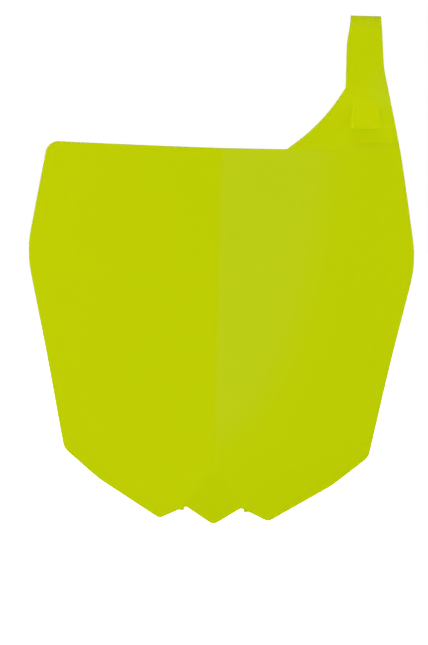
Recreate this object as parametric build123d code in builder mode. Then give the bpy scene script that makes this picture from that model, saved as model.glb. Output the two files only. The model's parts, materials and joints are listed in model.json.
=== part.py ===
from build123d import *
from collections import namedtuple
from math import asin, cos, degrees, radians, sin, sqrt, tan
import os

# Front number board of a motocross bike, moulded in one piece from polypropylene.
# A creased, cambered board carries the start number. Its right shoulder runs up into a strap that
# hooks over the handlebar, and the strap's toothed tail comes back through a hooded keeper at the
# strap's root. Two tabs behind the lower edge drop onto pegs below.
#
# Frame: +X to the right as the board is seen from the front, -Y towards the viewer, +Z up.
# Origin: midway between the two peg holes, on the underside of the tabs.
# Heights are measured from that underside, and setbacks from the foremost point at the waist.

# Wall
wall = 2.4
crest_radius = 6.0
fold_radius = 8.0
rim_radius = 0.8

# Outline of the board, seen from the front: half widths, heights and corner radii
tip_drop = 9.1
tip_radius = 4.5
notch_half_width = 17.2
notch_height = 3.0
notch_radius = 1.6
tooth_half_width = 34.3
tooth_drop = 7.4
tooth_radius = 4.0
kink_half_width = 73.9
kink_height = 14.9
kink_radius = 40.0
corner_half_width = 96.4
corner_height = 32.9
corner_radius = 9.0
side_hollow = 1.2
side_radius = 1500.0
waist_half_width = 121.5
waist_height = 158.5
waist_radius = 70.0
top_half_width = 109.4
top_height = 227.7
top_radius = 8.0

# Outline of the strap, seen from the front, with rises measured above the board's top edge
strap_inset = 12.0
strap_width = 23.3
strap_right_rise = 50.4
strap_right_radius = 60.0
strap_root_blend = 18.0
gusset_root = 38.8
gusset_hollow = 5.4
shoulder_rise = 37.8
shoulder_radius = 3.0
crown_width = 18.9
crown_corner_radius = 40.0

# Form of the board's face at four levels: setback of the crease, angle of the facets beside it, camber
foot_margin = 8.0
foot_setback = 9.2
foot_angle = 17.8
foot_camber = 415.0
chin_height = 26.5
chin_setback = 2.6
chin_angle = 13.9
chin_camber = 470.0
waist_setback = 0.0
waist_angle = 7.0
waist_camber = 520.0
top_setback = 7.0
top_angle = 5.5
top_camber = 520.0

# Folds of the lower edge: a flat chin and, each side of it, a cheek bent back to its tooth
chin_lean = 20.0
fold_reach = 47.0
tooth_setback = 22.0

# Strap: ledge at its root, straight lead into the bend over the handlebar, and tail
ledge_height = 4.5
ledge_depth = 3.0
bar_diameter = 28.6
bar_clearance = 0.1
bar_setback = 53.8
bar_rise = 65.0
strap_lean = 11.0
strap_lead = 12.0
wrap_past_crown = 40.0
tail_length = 92.0
tail_shoulder = 22.0
tail_width = 14.8
tail_tip_width = 13.0
tail_tip_radius = 5.0
tail_shoulder_radius = 20.0
ratchet_count = 9
ratchet_pitch = 6.0
ratchet_ramp = 4.0
ratchet_height = 0.8
ratchet_margin = 9.0

# Keeper: a hood moulded on the strap's root, open below and through the wall behind
keeper_offset = 1.4
keeper_mouth_rise = 13.3
keeper_length = 19.0
keeper_headroom = 0.5
keeper_shutoff = 0.4
keeper_wall = 1.8
keeper_top_width = 14.2
keeper_clearance = 0.4
keeper_edge_radius = 0.8
keeper_sill = 0.5
keeper_sink = 0.5

# Peg tabs
peg_setback = 28.5
peg_spacing = 54.0
peg_hole_diameter = 6.4
tab_width = 16.4
tab_thickness = 2.5
rib_thickness = 2.0
rib_angle = 45.0

# Working margins: how far a blank stands past what is kept of it, how far two blanks overlap, and
# how near counts as level
blank_margin = 6.0
blank_side = 25.0
blank_overlap = 1.0
level_tolerance = 0.001

# Worked out from the values above
blank_reach = waist_half_width + blank_side
bend_radius = bar_diameter / 2 + bar_clearance
crown_radius = bend_radius + wall
bar_y = bar_setback - peg_setback
bar_height = top_height + bar_rise
crown_height = bar_height + crown_radius
strap_right = top_half_width - strap_inset
strap_left = strap_right - strap_width
strap_x = (strap_left + strap_right) / 2
crown_left = strap_x - crown_width / 2
crown_right = strap_x + crown_width / 2
keeper_x = strap_x + keeper_offset
keeper_mouth = top_height + keeper_mouth_rise
keeper_mouth_width = tail_width + 2 * (keeper_clearance + keeper_wall)
keeper_rise = wall + ratchet_height + keeper_headroom + keeper_wall

Level = namedtuple("Level", "height setback angle camber")
foot = Level(-tip_drop - foot_margin, foot_setback, foot_angle, foot_camber)
chin = Level(chin_height, chin_setback, chin_angle, chin_camber)
waist = Level(waist_height, waist_setback, waist_angle, waist_camber)
top = Level(top_height, top_setback, top_angle, top_camber)
levels = (foot, chin, waist, top)


def facet_turn(level, x):
    """Turn of the face away from straight ahead at a distance x from the crease, at one of the levels."""
    slope = radians(level.angle)
    return asin((x - crest_radius * sin(slope)) / level.camber + sin(slope))


def facet_y(level, x):
    """Depth of the face at a distance x from the crease, at one of the levels."""
    slope = radians(level.angle)
    centre_y = crest_radius * (1 - cos(slope)) + level.camber * cos(slope)
    return level.setback - peg_setback + centre_y - level.camber * cos(facet_turn(level, x))


def level_section(level, shift, reach):
    """Section of the former at one level: creased and cambered in front, flat behind."""
    facet_size = degrees(facet_turn(level, reach)) - level.angle
    back = max(facet_y(each, reach) for each in levels) + shift + blank_margin
    with BuildSketch(Plane.XY.offset(level.height)) as section:
        with BuildLine():
            crest = JernArc((0, level.setback - peg_setback + shift), (1, 0), crest_radius, level.angle)
            facet = JernArc(crest @ 1, crest % 1, level.camber, facet_size)
            Polyline(facet @ 1, (reach, back), (0, back))
            mirror(about=Plane.YZ)
        make_face()
    return section.sketch


def fold_planes(shift):
    """Planes of the flat chin and of the two cheeks, facing forwards."""
    lean = radians(chin_lean)
    chin_y = chin_setback - peg_setback + shift
    notch_y = chin_y + (chin_height - notch_height) * tan(lean)
    planes = [Plane((0, chin_y, chin_height), x_dir=(1, 0, 0), z_dir=(0, -cos(lean), -sin(lean)))]
    for side in (1, -1):
        notch = Vector(side * notch_half_width, notch_y, notch_height)
        reach = Vector(side * fold_reach, facet_y(chin, fold_reach) + shift, chin_height)
        tooth = Vector(side * tooth_half_width, tooth_setback - peg_setback + shift, -tooth_drop)
        facing = (tooth - notch).cross(reach - notch) * side
        planes.append(Plane(notch, x_dir=reach - notch, z_dir=facing))
    return planes


def former(shift, reach):
    """Block whose front is the board's face, moved back by shift."""
    planes = fold_planes(shift)
    with BuildPart() as block:
        loft(sections=[level_section(level, shift, reach) for level in levels])
        for plane in planes:
            split(bisect_by=plane, keep=Keep.BOTTOM)
        flats = block.faces().filter_by(GeomType.PLANE)
        folds = flats.sort_by(lambda face: face.normal_at().Y)[: len(planes)]
        creases = folds.edges().filter_by_position(Axis.Z, foot.height, top.height, (False, False))
        inner = creases.filter_by_position(Axis.X, blank_overlap - reach, reach - blank_overlap)
        fillet(inner, fold_radius)
    return block.part


def rounded(corners):
    """Closed line through corners, each of them a point with the radius that rounds it."""
    points = [point for point, _ in corners]
    radii = [radius for _, radius in corners]
    return FilletPolyline(*points, radius=radii, close=True)


def gusset_bend():
    """Corner in the middle of the gusset, with the radius that leaves room for the rounded shoulder."""
    low = Vector(gusset_root, top_height)
    high = Vector(strap_left, top_height + shoulder_rise)
    run = high - low
    bend = (low + high) / 2 + Vector(run.Y, -run.X).normalized() * gusset_hollow
    leg = (bend - low).length
    half_turn = asin(gusset_hollow / leg)
    return ((bend.X, bend.Y), (leg - shoulder_radius) / tan(half_turn))


def strap_root_bend():
    """Corner where the strap leaves the board's side, with the radius that blends a set length of both."""
    corner = Vector(top_half_width, top_height)
    below = corner - Vector(waist_half_width, waist_height)
    above = Vector(strap_right, top_height + strap_right_rise) - corner
    half_turn = radians(below.get_angle(above)) / 2
    return ((corner.X, corner.Y), strap_root_blend / tan(half_turn))


def outline_corners():
    """Corners of the whole outline seen from the front, each with its radius, going round from the tip."""
    side_middle = (corner_half_width + waist_half_width) / 2 - side_hollow
    right = [
        ((notch_half_width, notch_height), notch_radius),
        ((tooth_half_width, -tooth_drop), tooth_radius),
        ((kink_half_width, kink_height), kink_radius),
        ((corner_half_width, corner_height), corner_radius),
        ((side_middle, (corner_height + waist_height) / 2), side_radius),
        ((waist_half_width, waist_height), waist_radius),
    ]
    strap = [
        strap_root_bend(),
        ((strap_right, top_height + strap_right_rise), strap_right_radius),
        ((crown_right, bar_height + bend_radius), 0),
        ((crown_right, crown_height + blank_margin), 0),
        ((crown_left, crown_height + blank_margin), 0),
        ((crown_left, bar_height + bend_radius), 0),
        ((strap_left, bar_height), crown_corner_radius),
        ((strap_left, top_height + shoulder_rise), shoulder_radius),
        gusset_bend(),
        ((gusset_root, top_height), 0),
        ((-top_half_width, top_height), top_radius),
    ]
    left = [((-x, z), radius) for (x, z), radius in reversed(right)]
    return [((0, -tip_drop), tip_radius)] + right + strap + left


def front_at(shape, x, height):
    """First point of a shape met from the front at a place on its face, and the way it faces there."""
    return shape.find_intersection_points(Axis((x, -blank_reach, height), (0, 1, 0)))[0]


def keeper_block(front, profile, inset):
    """Solid of the keeper's side profile, cut to its tapered plan less an inset."""
    side = Plane(front.origin, x_dir=front.y_dir, z_dir=front.x_dir)
    taper = (keeper_mouth_width - keeper_top_width) / 2 / keeper_length
    half_width = keeper_mouth_width / 2 - inset
    with BuildPart() as block:
        with BuildSketch(side):
            Polygon(*profile, align=None)
        extrude(amount=half_width + blank_margin, both=True)
        with BuildSketch(front):
            with BuildLine():
                Polyline(
                    (-half_width - taper * blank_margin, -blank_margin),
                    (half_width + taper * blank_margin, -blank_margin),
                    (half_width - taper * keeper_length, keeper_length),
                    (-half_width + taper * keeper_length, keeper_length),
                    close=True,
                )
            make_face()
        extrude(amount=keeper_rise + blank_margin, both=True, mode=Mode.INTERSECT)
    return block.part


# Former for the face and for the back of the wall
face_block = former(0, blank_reach)
core_block = former(wall, blank_reach + blank_margin)

# Sheet with the board's form, before it is cut to its outline
with BuildPart() as sheet:
    add(face_block)
    add(core_block, mode=Mode.SUBTRACT)

# Strap with its bend and tail, before it is cut to its outline
sheet_top = sheet.faces().sort_by(Axis.Z)[-1]
strap_root = sheet_top.split(Plane.YZ.offset(gusset_root - blank_margin), Keep.TOP)
strap_ledge = strap_root.moved(Location((0, ledge_depth, ledge_height)))
bend_up = Vector(0, sin(radians(strap_lean)), cos(radians(strap_lean)))
bend_plane = Plane((0, bar_y, bar_height), x_dir=(1, 0, 0), z_dir=bend_up)
hook_left = crown_left - blank_margin
hook_right = strap_right + blank_margin
with BuildSketch(bend_plane) as bend_start:
    with Locations(((hook_left + hook_right) / 2, -bend_radius - wall / 2)):
        Rectangle(hook_right - hook_left, wall)

tail_dip = radians(wrap_past_crown)
tail_start = Vector(0, bar_y + crown_radius * sin(tail_dip), bar_height + crown_radius * cos(tail_dip))
tail_top = Plane(tail_start, x_dir=(0, cos(tail_dip), -sin(tail_dip)), z_dir=(1, 0, 0))
tail_end_y = tail_start.Y + tail_length * cos(tail_dip)
bend_turn = strap_lean - 90 - wrap_past_crown
ratchet_middle = tail_length - ratchet_margin - (ratchet_count - 1) * ratchet_pitch / 2
ratchet_tooth = [(0, -wall / 2), (0, ratchet_height), (ratchet_ramp, 0), (ratchet_ramp, -wall / 2)]

lead_start = bend_start.sketch.moved(Location(bend_up * -strap_lead))

with BuildPart() as strap:
    loft(sections=[strap_root, strap_ledge], ruled=True)
    loft(sections=[strap_ledge, lead_start, bend_start.sketch])
    with BuildSketch(Plane.YZ.offset(hook_left)):
        with BuildLine():
            bend = CenterArc((bar_y, bar_height), bend_radius, 180 - strap_lean, bend_turn)
            Line(bend @ 1, bend @ 1 + bend % 1 * (tail_length + blank_margin))
            offset(amount=wall, side=Side.LEFT)
        make_face()
    with BuildSketch(tail_top.offset(hook_left)):
        with Locations((ratchet_middle, 0)):
            with GridLocations(ratchet_pitch, 0, ratchet_count, 1):
                Polygon(*ratchet_tooth, align=None)
    extrude(amount=hook_right - hook_left)

# Everything inside the outline: seen from the front ahead of the bar, and from above behind it
tail_plan = [
    ((crown_left, bar_y - blank_overlap), 0),
    ((crown_left, bar_y), 0),
    ((keeper_x - tail_width / 2, bar_y + tail_shoulder), tail_shoulder_radius),
    ((keeper_x - tail_tip_width / 2, tail_end_y), tail_tip_radius),
    ((keeper_x + tail_tip_width / 2, tail_end_y), tail_tip_radius),
    ((keeper_x + tail_width / 2, bar_y + tail_shoulder), tail_shoulder_radius),
    ((crown_right, bar_y), 0),
    ((crown_right, bar_y - blank_overlap), 0),
]
with BuildPart() as trim:
    with BuildSketch(Plane.XZ.offset(-bar_y)):
        with BuildLine():
            rounded(outline_corners())
        make_face()
    extrude(amount=bar_y + peg_setback + blank_margin)
    with BuildSketch(Plane.XY.offset(waist_height)):
        with BuildLine():
            rounded(tail_plan)
        make_face()
    extrude(amount=crown_height + blank_margin - waist_height)

# Hood of the keeper and the passage through it, with a level mouth that closes straight in front
mouth, _ = front_at(strap.part, keeper_x, keeper_mouth)
_, facing = front_at(strap.part, keeper_x, keeper_mouth + keeper_length / 2)
keeper_front = Plane(mouth, x_dir=Vector(0, 0, 1).cross(facing), z_dir=facing)
mouth_tilt = keeper_front.z_dir.Z / keeper_front.y_dir.Z
lip = -keeper_rise * mouth_tilt
keeper_slope = (keeper_rise + keeper_sink) / (keeper_length - lip)
ceiling_drop = keeper_wall * sqrt(1 + keeper_slope**2)
ceiling_end = keeper_length - (keeper_sink + ceiling_drop) / keeper_slope
passage_start = lip - blank_overlap
passage_depth = wall + blank_margin
hood_profile = [
    (wall / 2 * mouth_tilt, -wall / 2),
    (lip, keeper_rise),
    (keeper_length, -keeper_sink),
    (keeper_length, -wall / 2),
]
passage_profile = [
    (keeper_shutoff + passage_depth * mouth_tilt, -passage_depth),
    (keeper_shutoff, keeper_sill),
    (passage_start, keeper_sill),
    (passage_start, keeper_slope * (ceiling_end - passage_start)),
    (ceiling_end, 0),
    (ceiling_end + passage_depth * mouth_tilt, -passage_depth),
]
keeper_passage = keeper_block(keeper_front, passage_profile, keeper_wall)
with BuildPart() as keeper_hood:
    add(keeper_block(keeper_front, hood_profile, 0))
    outwards = Axis(keeper_front.origin, keeper_front.z_dir)
    ramp = keeper_hood.faces().sort_by(outwards)[-1]
    fillet(ramp.edges().sort_by(outwards)[1:], keeper_edge_radius)

# Peg tabs with their ribs, trimmed to the middle of the wall
rib_rise = peg_setback * tan(radians(rib_angle))
with BuildPart() as tabs:
    with BuildSketch(Plane.XY):
        with GridLocations(peg_spacing, 0, 2, 1):
            Circle(tab_width / 2)
            Rectangle(tab_width, peg_setback, align=(Align.CENTER, Align.MAX))
    extrude(amount=tab_thickness)
    for tab_x in (-peg_spacing / 2, peg_spacing / 2):
        for rib_x in (tab_x - (tab_width - rib_thickness) / 2, tab_x + (tab_width - rib_thickness) / 2):
            with BuildSketch(Plane.YZ.offset(rib_x)):
                with Locations((0, tab_thickness)):
                    Polygon((0, 0), (-peg_setback, rib_rise), (-peg_setback, 0), align=None)
            extrude(amount=rib_thickness / 2, both=True)
    add(former(wall / 2, blank_reach), mode=Mode.INTERSECT)
    with GridLocations(peg_spacing, 0, 2, 1):
        Hole(peg_hole_diameter / 2)

with BuildPart() as number_board:
    add(sheet.part)
    add(strap.part)
    add(trim.part, mode=Mode.INTERSECT)
    walls = number_board.faces().filter_by(lambda face: abs(face.normal_at().Y) < level_tolerance)
    fronts = number_board.faces().filter_by(lambda face: face.normal_at().Y < -level_tolerance)
    rim = (walls.edges() & fronts.edges()).filter_by_position(Axis.Y, -blank_reach, bar_y)
    fillet(rim.filter_by_position(Axis.Z, foot.height, top_height + level_tolerance), rim_radius)
    add(keeper_hood.part)
    add(keeper_passage, mode=Mode.SUBTRACT)
    add(tabs.part)

number_board.part.label = "number_board"
os.makedirs("parts", exist_ok=True)
export_step(number_board.part, "parts/number_board.step")
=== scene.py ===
import json
from math import cos, pi, radians, sin

import bpy
from mathutils import Matrix, Vector


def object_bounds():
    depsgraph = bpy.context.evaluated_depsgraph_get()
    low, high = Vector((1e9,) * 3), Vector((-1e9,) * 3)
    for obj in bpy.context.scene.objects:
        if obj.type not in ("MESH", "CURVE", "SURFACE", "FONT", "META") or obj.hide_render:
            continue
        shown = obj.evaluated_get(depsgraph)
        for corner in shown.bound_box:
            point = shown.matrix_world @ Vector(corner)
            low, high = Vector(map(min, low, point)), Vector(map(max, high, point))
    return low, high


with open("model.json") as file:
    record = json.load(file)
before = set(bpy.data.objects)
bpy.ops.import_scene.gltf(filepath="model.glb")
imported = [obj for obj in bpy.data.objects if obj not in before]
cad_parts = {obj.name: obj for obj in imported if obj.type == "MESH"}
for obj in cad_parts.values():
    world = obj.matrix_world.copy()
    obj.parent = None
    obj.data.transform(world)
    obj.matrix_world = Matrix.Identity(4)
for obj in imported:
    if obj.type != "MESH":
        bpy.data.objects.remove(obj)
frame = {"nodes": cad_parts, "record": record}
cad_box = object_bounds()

# Lengths are in metres and angles in degrees. Azimuth 0 is in front of the board, 90 on the viewer's right.

# Camera: a long lens a little above the board and a little to its right, slightly rolled
LENS_MM = 135.0
SENSOR_MM = 36.0
CAMERA_AZIMUTH = 1.445
CAMERA_ELEVATION = 8.0
CAMERA_ROLL = 1.508
CAMERA_DISTANCE = 1.4945
CAMERA_TARGET = Vector((-0.0028, -0.0175, 0.1197))

# Surroundings: white backdrop and floor that only the camera sees, and a dim room that the gloss mirrors
BACKDROP_WHITE = (1.0, 1.0, 1.0, 1.0)
FLOOR_DROP = 0.16
FLOOR_SIZE = 6.0
FLOOR_GLOW = 1.0
ROOM_DIM = 0.015
ROOM_BRIGHT = 0.06
ROOM_RISE_START = 0.7
ROOM_RISE_END = 1.0

# Colours of the lights
NEUTRAL = (1.0, 1.0, 1.0)
WARM = (1.0, 0.9, 0.75)
COOL = (0.1, 0.55, 1.0)
AMBER = (1.0, 0.6, 0.4)

# Softboxes: name, azimuth, elevation, distance, width, height, radiance, colour, mirrored in the gloss
STUDIO_CENTRE = Vector((0.0, 0.0, 0.13))
SOFTBOXES = [
    ("key_softbox", -24.0, 32.0, 1.9, 2.4, 1.6, 0.38, WARM, False),
    ("overhead_softbox", 0.0, 80.0, 1.6, 2.0, 1.2, 1.85, NEUTRAL, False),
    ("low_fill", 0.0, -36.0, 1.6, 2.2, 1.2, 2.18, NEUTRAL, False),
    ("left_softbox", -75.0, 8.0, 1.6, 0.9, 1.8, 2.15, WARM, False),
    ("right_softbox", 75.0, 8.0, 1.6, 0.9, 1.8, 1.85, NEUTRAL, False),
    ("back_softbox", 180.0, 25.0, 1.8, 2.2, 1.6, 1.5, NEUTRAL, False),
    ("back_fill", 180.0, -30.0, 1.8, 2.2, 1.2, 1.0, NEUTRAL, False),
    ("front_gloss_panel", 12.2, -2.0, 1.7, 1.0, 1.28, 0.175, COOL, True),
    ("left_gloss_panel", -78.0, 6.0, 1.7, 0.6, 1.6, 0.5, NEUTRAL, True),
    ("right_gloss_panel", 78.0, 6.0, 1.7, 0.6, 1.6, 0.5, NEUTRAL, True),
    ("back_gloss_panel", 165.0, -8.0, 1.8, 0.6, 1.2, 0.3, NEUTRAL, True),
]

# Narrow spot from the front on the strap's root, which the ledge and the keeper's hood shade
MOUNTS = {mount["name"]: mount for mount in frame["record"]["mounts"]}
KEEPER_FROM_BAR = Vector((0.0014, -0.0373, -0.0452))
SPOT_AZIMUTH = 2.0
SPOT_ELEVATION = 10.0
SPOT_DISTANCE = 1.5
SPOT_CONE = 1.9
SPOT_BLEND = 1.0
SPOT_RADIUS = 0.004
SPOT_POWER = 8.0

# Fluorescent polypropylene: two close yellows, glossy, with a painted glow in its own colour that stands in
# for fluorescence and lifts its shading evenly
YELLOW_GREEN = (0.453, 0.541, 0.0008, 1.0)
YELLOW_GREEN_DEEP = (0.436, 0.528, 0.0004, 1.0)
GLOSS_ROUGHNESS = 0.12
SATIN_ROUGHNESS = 0.18
PAINTED_GLOW_STRENGTH = 0.40
REFRACTIVE_INDEX = 1.49

# Moulded skin: slow mottle of the colour, upright streaks in the gloss, fine orange peel
MOTTLE_SCALE = 28.0
MOTTLE_DETAIL = 3.0
STREAK_STRETCH = (1.0, 1.0, 0.25)
STREAK_DETAIL = 5.0
STREAK_ROUGHNESS = 0.6
PEEL_SCALE = 350.0
PEEL_DETAIL = 2.0
PEEL_HEIGHT = 0.00001
PEEL_STRENGTH = 0.35


def link(tree, source, output, target, socket):
    """Links a node's named output to another node's named input."""
    tree.links.new(source.outputs[output], target.inputs[socket])


def towards(azimuth, elevation):
    """Unit vector that points away from the board in a direction."""
    a = radians(azimuth)
    e = radians(elevation)
    return Vector((sin(a) * cos(e), -cos(a) * cos(e), sin(e)))


def moulded_skin_group():
    """Pattern of a moulded gloss skin: slow mottle, gloss variation, and a fine orange peel as a normal."""
    group = bpy.data.node_groups.new("moulded_skin", "ShaderNodeTree")
    for name, kind in (("Vector", "NodeSocketVector"), ("Mottle Scale", "NodeSocketFloat"),
                       ("Peel Scale", "NodeSocketFloat"), ("Peel Height", "NodeSocketFloat")):
        group.interface.new_socket(name, in_out="INPUT", socket_type=kind)
    for name, kind in (("Mottle", "NodeSocketFloat"), ("Gloss", "NodeSocketFloat"),
                       ("Normal", "NodeSocketVector")):
        group.interface.new_socket(name, in_out="OUTPUT", socket_type=kind)
    inputs = group.nodes.new("NodeGroupInput")
    outputs = group.nodes.new("NodeGroupOutput")

    mottle = group.nodes.new("ShaderNodeTexNoise")
    mottle.inputs["Detail"].default_value = MOTTLE_DETAIL
    link(group, inputs, "Vector", mottle, "Vector")
    link(group, inputs, "Mottle Scale", mottle, "Scale")
    link(group, mottle, "Fac", outputs, "Mottle")

    streaks = group.nodes.new("ShaderNodeTexNoise")
    streaks.inputs["Detail"].default_value = STREAK_DETAIL
    streaks.inputs["Roughness"].default_value = STREAK_ROUGHNESS
    stretch = group.nodes.new("ShaderNodeMapping")
    stretch.inputs["Scale"].default_value = STREAK_STRETCH
    link(group, inputs, "Vector", stretch, "Vector")
    link(group, stretch, "Vector", streaks, "Vector")
    link(group, inputs, "Mottle Scale", streaks, "Scale")
    link(group, streaks, "Fac", outputs, "Gloss")

    peel = group.nodes.new("ShaderNodeTexNoise")
    peel.inputs["Detail"].default_value = PEEL_DETAIL
    link(group, inputs, "Vector", peel, "Vector")
    link(group, inputs, "Peel Scale", peel, "Scale")
    bump = group.nodes.new("ShaderNodeBump")
    bump.inputs["Strength"].default_value = PEEL_STRENGTH
    link(group, inputs, "Peel Height", bump, "Distance")
    link(group, peel, "Fac", bump, "Height")
    link(group, bump, "Normal", outputs, "Normal")
    return group


def fluorescent_polypropylene():
    """Glossy moulded polypropylene in fluorescent yellow."""
    material = bpy.data.materials.new("fluorescent_polypropylene_gloss")
    material.use_nodes = True
    tree = material.node_tree
    shader = tree.nodes["Principled BSDF"]
    place = tree.nodes.new("ShaderNodeTexCoord")
    skin = tree.nodes.new("ShaderNodeGroup")
    skin.node_tree = moulded_skin_group()
    skin.inputs["Mottle Scale"].default_value = MOTTLE_SCALE
    skin.inputs["Peel Scale"].default_value = PEEL_SCALE
    skin.inputs["Peel Height"].default_value = PEEL_HEIGHT
    link(tree, place, "Object", skin, "Vector")

    colour = tree.nodes.new("ShaderNodeMix")
    colour.data_type = "RGBA"
    colour.inputs["A"].default_value = YELLOW_GREEN
    colour.inputs["B"].default_value = YELLOW_GREEN_DEEP
    link(tree, skin, "Mottle", colour, "Factor")
    link(tree, colour, "Result", shader, "Base Color")
    # The mottled base colour also feeds the emission: a painted glow that lifts the board's shade evenly,
    # whatever the lamps do
    link(tree, colour, "Result", shader, "Emission Color")

    gloss = tree.nodes.new("ShaderNodeMapRange")
    gloss.inputs["To Min"].default_value = GLOSS_ROUGHNESS
    gloss.inputs["To Max"].default_value = SATIN_ROUGHNESS
    link(tree, skin, "Gloss", gloss, "Value")
    link(tree, gloss, "Result", shader, "Roughness")
    link(tree, skin, "Normal", shader, "Normal")
    shader.inputs["Emission Strength"].default_value = PAINTED_GLOW_STRENGTH
    shader.inputs["IOR"].default_value = REFRACTIVE_INDEX
    return material


def hang_light(name, data, aim, away, distance, mirrored):
    """Hangs a light away from what it is aimed at, where the camera doesn't see it."""
    light = bpy.data.objects.new(name, data)
    light.location = aim + away * distance
    light.rotation_mode = "QUATERNION"
    light.rotation_quaternion = (-away).to_track_quat("-Z", "Y")
    bpy.context.scene.collection.objects.link(light)
    light.visible_camera = False
    light.visible_glossy = mirrored
    data.cycles.use_multiple_importance_sampling = mirrored


def softbox(name, azimuth, elevation, distance, width, height, radiance, colour, mirrored):
    """Rectangular light that faces the board from a direction, with a given radiance and colour."""
    data = bpy.data.lights.new(name, "AREA")
    data.shape = "RECTANGLE"
    data.size = width
    data.size_y = height
    data.energy = radiance * pi * width * height
    data.color = colour
    hang_light(name, data, STUDIO_CENTRE, towards(azimuth, elevation), distance, mirrored)


def root_spot():
    """Narrow soft-edged spot that lifts the strap's root to the level of the board."""
    data = bpy.data.lights.new("root_spot", "SPOT")
    data.energy = SPOT_POWER
    data.spot_size = radians(SPOT_CONE)
    data.spot_blend = SPOT_BLEND
    data.shadow_soft_size = SPOT_RADIUS
    data.color = AMBER
    keeper = Vector(MOUNTS["handlebar_strap"]["pos_m"]) + KEEPER_FROM_BAR
    away = towards(SPOT_AZIMUTH, SPOT_ELEVATION)
    hang_light("root_spot", data, keeper, away, SPOT_DISTANCE, mirrored=False)


def surroundings():
    """White backdrop for the camera, and for all other rays a dim room that is brighter overhead."""
    world = bpy.data.worlds.new("studio")
    bpy.context.scene.world = world
    world.use_nodes = True
    tree = world.node_tree
    tree.nodes.clear()
    output = tree.nodes.new("ShaderNodeOutputWorld")
    backdrop = tree.nodes.new("ShaderNodeBackground")
    backdrop.inputs["Color"].default_value = BACKDROP_WHITE
    room = tree.nodes.new("ShaderNodeBackground")
    room.inputs["Color"].default_value = BACKDROP_WHITE

    direction = tree.nodes.new("ShaderNodeTexCoord")
    parts = tree.nodes.new("ShaderNodeSeparateXYZ")
    rise = tree.nodes.new("ShaderNodeMapRange")
    rise.interpolation_type = "SMOOTHSTEP"
    rise.inputs["From Min"].default_value = ROOM_RISE_START
    rise.inputs["From Max"].default_value = ROOM_RISE_END
    rise.inputs["To Min"].default_value = ROOM_DIM
    rise.inputs["To Max"].default_value = ROOM_BRIGHT
    link(tree, direction, "Generated", parts, "Vector")
    link(tree, parts, "Z", rise, "Value")
    link(tree, rise, "Result", room, "Strength")

    rays = tree.nodes.new("ShaderNodeLightPath")
    mix = tree.nodes.new("ShaderNodeMixShader")
    factor, for_other_rays, for_camera_rays = mix.inputs
    tree.links.new(rays.outputs["Is Camera Ray"], factor)
    tree.links.new(room.outputs["Background"], for_other_rays)
    tree.links.new(backdrop.outputs["Background"], for_camera_rays)
    link(tree, mix, "Shader", output, "Surface")


def floor():
    """Pale plain floor, well below the board, that casts no light or shade on it."""
    half = FLOOR_SIZE / 2
    level = cad_box[0].z - FLOOR_DROP
    mesh = bpy.data.meshes.new("floor")
    corners = [(-half, -half, level), (half, -half, level), (half, half, level), (-half, half, level)]
    mesh.from_pydata(corners, [], [(0, 1, 2, 3)])
    material = bpy.data.materials.new("pale_floor")
    material.use_nodes = True
    shader = material.node_tree.nodes["Principled BSDF"]
    shader.inputs["Emission Color"].default_value = BACKDROP_WHITE
    shader.inputs["Emission Strength"].default_value = FLOOR_GLOW
    mesh.materials.append(material)
    plane = bpy.data.objects.new("floor", mesh)
    bpy.context.scene.collection.objects.link(plane)
    plane.visible_diffuse = False
    plane.visible_glossy = False
    plane.visible_shadow = False


def camera():
    """Camera at the photograph's angle, looking at its target and rolled about its line of sight."""
    back = towards(CAMERA_AZIMUTH, CAMERA_ELEVATION)
    azimuth = radians(CAMERA_AZIMUTH)
    right = Vector((cos(azimuth), sin(azimuth), 0.0))
    up = back.cross(right)
    roll = radians(CAMERA_ROLL)
    rolled_right = right * cos(roll) + up * sin(roll)
    rolled_up = up * cos(roll) - right * sin(roll)
    data = bpy.data.cameras.new("camera")
    data.lens = LENS_MM
    data.sensor_width = SENSOR_MM
    eye = bpy.data.objects.new("camera", data)
    turn = Matrix((rolled_right, rolled_up, back)).transposed()
    eye.matrix_world = Matrix.Translation(CAMERA_TARGET + back * CAMERA_DISTANCE) @ turn.to_4x4()
    bpy.context.scene.collection.objects.link(eye)
    bpy.context.scene.camera = eye


board = frame["nodes"]["number_board"]
board.data.materials.clear()
board.data.materials.append(fluorescent_polypropylene())

surroundings()
for values in SOFTBOXES:
    softbox(*values)
root_spot()
bpy.context.scene.view_settings.view_transform = "Standard"
floor()
camera()
